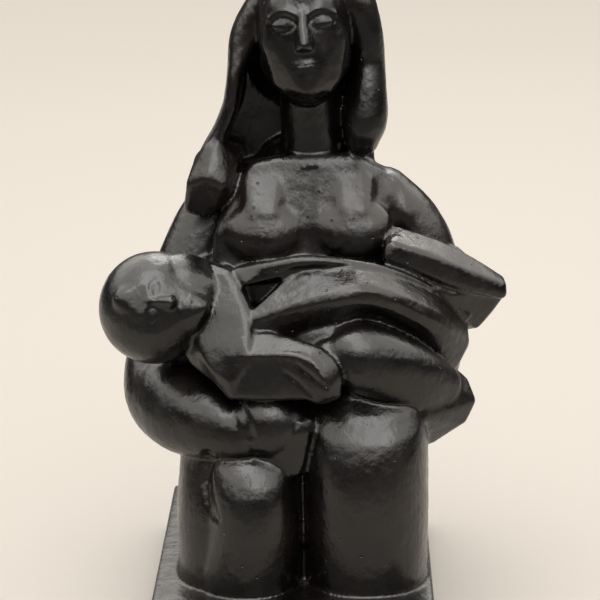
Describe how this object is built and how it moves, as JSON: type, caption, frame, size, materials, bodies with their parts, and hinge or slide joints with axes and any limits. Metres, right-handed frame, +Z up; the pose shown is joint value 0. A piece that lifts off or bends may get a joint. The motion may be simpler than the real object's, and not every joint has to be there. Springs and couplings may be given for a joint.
{
  "type": "mother and child sculpture",
  "caption": "Black cast table sculpture: a seated mother with long hair holds a child lying across her lap, cast in one with a plain slab base.",
  "frame": {"origin": "centre of the slab's underside, on the surface it stands on", "axes": "+Z up, the figure's front faces -Y, +X is the viewer's right"},
  "size_m": [0.2502, 0.22, 0.4202],
  "materials": {
    "black_waxed_cast_stone": "black waxed and buffed cast stone, semi-gloss with faint brush ripple and small pinholes; purplish-brown tint in the hollows"
  },
  "bodies": {
    "root": {"mother_and_child": "black_waxed_cast_stone"}
  },
  "joints": []
}
